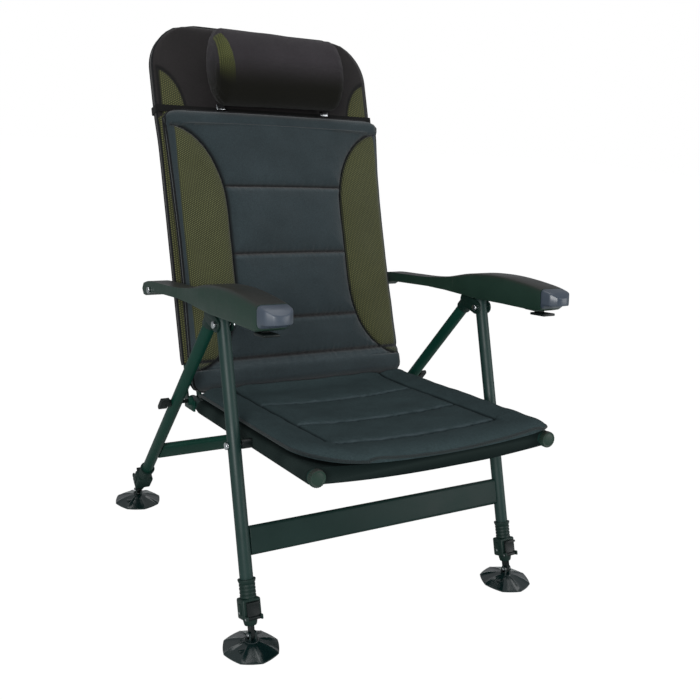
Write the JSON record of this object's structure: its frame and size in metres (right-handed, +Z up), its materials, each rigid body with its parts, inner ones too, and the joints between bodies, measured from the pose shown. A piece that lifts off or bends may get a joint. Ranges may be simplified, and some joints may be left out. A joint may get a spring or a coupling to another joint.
{
  "type": "folding carp fishing chair",
  "caption": "Reclining folding fishing chair with padded seat and back, armrests, head pillow and extending legs on swivel mud feet.",
  "frame": {"origin": "on the ground under the middle of the bounding box", "axes": "+Z up, -Y the way the sitter faces, +X to the right of someone looking at the front"},
  "size_m": [0.708, 0.865, 1.1065],
  "materials": {
    "grey_green_paint": "satin",
    "deep_green_paint": "satin",
    "bright_steel": "polished",
    "bracket_paint": "matt",
    "black_plastic": "matt",
    "foot_plastic": "glossy",
    "arm_plastic": "satin",
    "cap_plastic": "glossy",
    "sleeve_fabric": "woven",
    "pad_fabric": "woven",
    "panel_fabric": "woven",
    "pillow_fabric": "woven"
  },
  "bodies": {
    "seat": {"seat_rear_bar": "deep_green_paint", "seat_sling": "sleeve_fabric", "seat_pad": "pad_fabric", "seat_rail_left": "grey_green_paint", "seat_end_cap_left": "black_plastic", "back_hinge_plate_left": "deep_green_paint", "leg_bush_left": "black_plastic", "seat_rail_right": "grey_green_paint", "seat_end_cap_right": "black_plastic", "back_hinge_plate_right": "deep_green_paint", "leg_bush_right": "black_plastic"},
    "front_legs": {"front_cross_plate": "grey_green_paint", "front_leg_left": "grey_green_paint", "front_clamp_left": "bracket_paint", "leg_top_bolt_left": "bright_steel", "rack_pin_left": "bright_steel", "seat_bolt_left": "bright_steel", "front_leg_right": "grey_green_paint", "front_clamp_right": "bracket_paint", "leg_top_bolt_right": "bright_steel", "rack_pin_right": "bright_steel", "seat_bolt_right": "bright_steel"},
    "rear_legs": {"rear_cross_plate": "deep_green_paint", "rear_leg_left": "deep_green_paint", "rear_clamp_left": "bracket_paint", "leg_top_bracket_left": "bracket_paint", "rear_leg_right": "deep_green_paint", "rear_clamp_right": "bracket_paint", "leg_top_bracket_right": "bracket_paint"},
    "backrest": {"back_frame": "deep_green_paint", "back_lower_bar": "deep_green_paint", "back_panel": "panel_fabric", "back_pad": "pad_fabric", "back_bolt_left": "bright_steel", "back_bolt_right": "bright_steel", "arm_bolt_left": "bright_steel", "arm_bolt_right": "bright_steel"},
    "pillow": {"head_pillow": "pillow_fabric", "pillow_band": "pillow_fabric"},
    "arm_left": {"armrest_left": "arm_plastic", "armrest_tip_cap_left": "cap_plastic"},
    "trigger_left": {"recline_trigger_left": "black_plastic"},
    "knob_left": {"wing_knob_left": "black_plastic"},
    "arm_right": {"armrest_right": "arm_plastic", "armrest_tip_cap_right": "cap_plastic"},
    "trigger_right": {"recline_trigger_right": "black_plastic"},
    "knob_right": {"wing_knob_right": "black_plastic"},
    "front_extension_left": {"front_inner_leg_left": "black_plastic"},
    "front_foot_left": {"front_foot_left": "foot_plastic"},
    "front_lever_left": {"front_clamp_lever_left": "black_plastic"},
    "front_extension_right": {"front_inner_leg_right": "black_plastic"},
    "front_foot_right": {"front_foot_right": "foot_plastic"},
    "front_lever_right": {"front_clamp_lever_right": "black_plastic"},
    "rear_extension_left": {"rear_inner_leg_left": "black_plastic"},
    "rear_foot_left": {"rear_foot_left": "foot_plastic"},
    "rear_lever_left": {"rear_clamp_lever_left": "black_plastic"},
    "rear_extension_right": {"rear_inner_leg_right": "black_plastic"},
    "rear_foot_right": {"rear_foot_right": "foot_plastic"},
    "rear_lever_right": {"rear_clamp_lever_right": "black_plastic"}
  },
  "joints": [
    {"name": "legs_fold", "type": "hinge", "parent": "seat", "child": "front_legs", "pos_m": [0, -0.20006, 0.35587], "axis": [1, 0, 0], "range_deg": [0, 82]},
    {"name": "rear_legs_fold", "type": "hinge", "parent": "front_legs", "child": "rear_legs", "pos_m": [0, -0.1291, 0.56549], "axis": [1, 0, 0], "range_deg": [-54.2, 0]},
    {"name": "back_fold", "type": "hinge", "parent": "seat", "child": "backrest", "pos_m": [0, 0.14948, 0.37207], "axis": [1, 0, 0], "range_deg": [0, 84.5], "deforming": ["seat_pad", "back_pad"]},
    {"name": "pillow_height", "type": "slide", "parent": "backrest", "child": "pillow", "axis": [0, 0.3486, 0.9373], "range_m": [0, 0.06]},
    {"name": "arm_fold_left", "type": "hinge", "parent": "backrest", "child": "arm_left", "pos_m": [-0.302, 0.21745, 0.55484], "axis": [1, 0, 0], "range_deg": [-82, 0]},
    {"name": "trigger_press_left", "type": "slide", "parent": "arm_left", "child": "trigger_left", "axis": [0, 0.1219, 0.9925], "range_m": [0, 0.004], "stiffness_N_per_m": 400, "springref_m": -0.002},
    {"name": "knob_turn_left", "type": "hinge", "parent": "rear_legs", "child": "knob_left", "pos_m": [-0.3, 0.10429, 0.337], "axis": [1, 0, 0], "continuous": true},
    {"name": "arm_fold_right", "type": "hinge", "parent": "backrest", "child": "arm_right", "pos_m": [0.302, 0.21745, 0.55484], "axis": [1, 0, 0], "range_deg": [-82, 0]},
    {"name": "trigger_press_right", "type": "slide", "parent": "arm_right", "child": "trigger_right", "axis": [0, 0.1219, 0.9925], "range_m": [0, 0.004], "stiffness_N_per_m": 400, "springref_m": -0.002},
    {"name": "knob_turn_right", "type": "hinge", "parent": "rear_legs", "child": "knob_right", "pos_m": [0.3, 0.10429, 0.337], "axis": [1, 0, 0], "continuous": true},
    {"name": "front_leg_length_left", "type": "slide", "parent": "front_legs", "child": "front_extension_left", "axis": [0, -0.3206, -0.9472], "range_m": [0, 0.1]},
    {"name": "front_foot_swivel_left", "type": "hinge", "parent": "front_extension_left", "child": "front_foot_left", "pos_m": [-0.3, -0.31103, 0.028], "axis": [1, 0, 0], "range_deg": [-15, 15]},
    {"name": "front_lever_open_left", "type": "hinge", "parent": "front_legs", "child": "front_lever_left", "pos_m": [-0.3, -0.31799, 0.06671], "axis": [1, 0, 0], "range_deg": [0, 100]},
    {"name": "front_leg_length_right", "type": "slide", "parent": "front_legs", "child": "front_extension_right", "axis": [0, -0.3206, -0.9472], "range_m": [0, 0.1]},
    {"name": "front_foot_swivel_right", "type": "hinge", "parent": "front_extension_right", "child": "front_foot_right", "pos_m": [0.3, -0.31103, 0.028], "axis": [1, 0, 0], "range_deg": [-15, 15]},
    {"name": "front_lever_open_right", "type": "hinge", "parent": "front_legs", "child": "front_lever_right", "pos_m": [0.3, -0.31799, 0.06671], "axis": [1, 0, 0], "range_deg": [0, 100]},
    {"name": "rear_leg_length_left", "type": "slide", "parent": "rear_legs", "child": "rear_extension_left", "axis": [0, 0.6283, -0.7779], "range_m": [0, 0.1]},
    {"name": "rear_foot_swivel_left", "type": "hinge", "parent": "rear_extension_left", "child": "rear_foot_left", "pos_m": [-0.3, 0.35387, 0.028], "axis": [1, 0, 0], "range_deg": [-15, 15]},
    {"name": "rear_lever_open_left", "type": "hinge", "parent": "rear_legs", "child": "rear_lever_left", "pos_m": [-0.3, 0.34226, 0.07262], "axis": [-1, 0, 0], "range_deg": [0, 100]},
    {"name": "rear_leg_length_right", "type": "slide", "parent": "rear_legs", "child": "rear_extension_right", "axis": [0, 0.6283, -0.7779], "range_m": [0, 0.1]},
    {"name": "rear_foot_swivel_right", "type": "hinge", "parent": "rear_extension_right", "child": "rear_foot_right", "pos_m": [0.3, 0.35387, 0.028], "axis": [1, 0, 0], "range_deg": [-15, 15]},
    {"name": "rear_lever_open_right", "type": "hinge", "parent": "rear_legs", "child": "rear_lever_right", "pos_m": [0.3, 0.34226, 0.07262], "axis": [-1, 0, 0], "range_deg": [0, 100]}
  ],
  "couplings": [
    {"joint": "rear_legs_fold", "follows": "legs_fold", "ratio": -0.66},
    {"joint": "back_fold", "follows": "legs_fold", "ratio": 1.03},
    {"joint": "arm_fold_left", "follows": "legs_fold", "ratio": -1},
    {"joint": "arm_fold_right", "follows": "legs_fold", "ratio": -1}
  ]
}
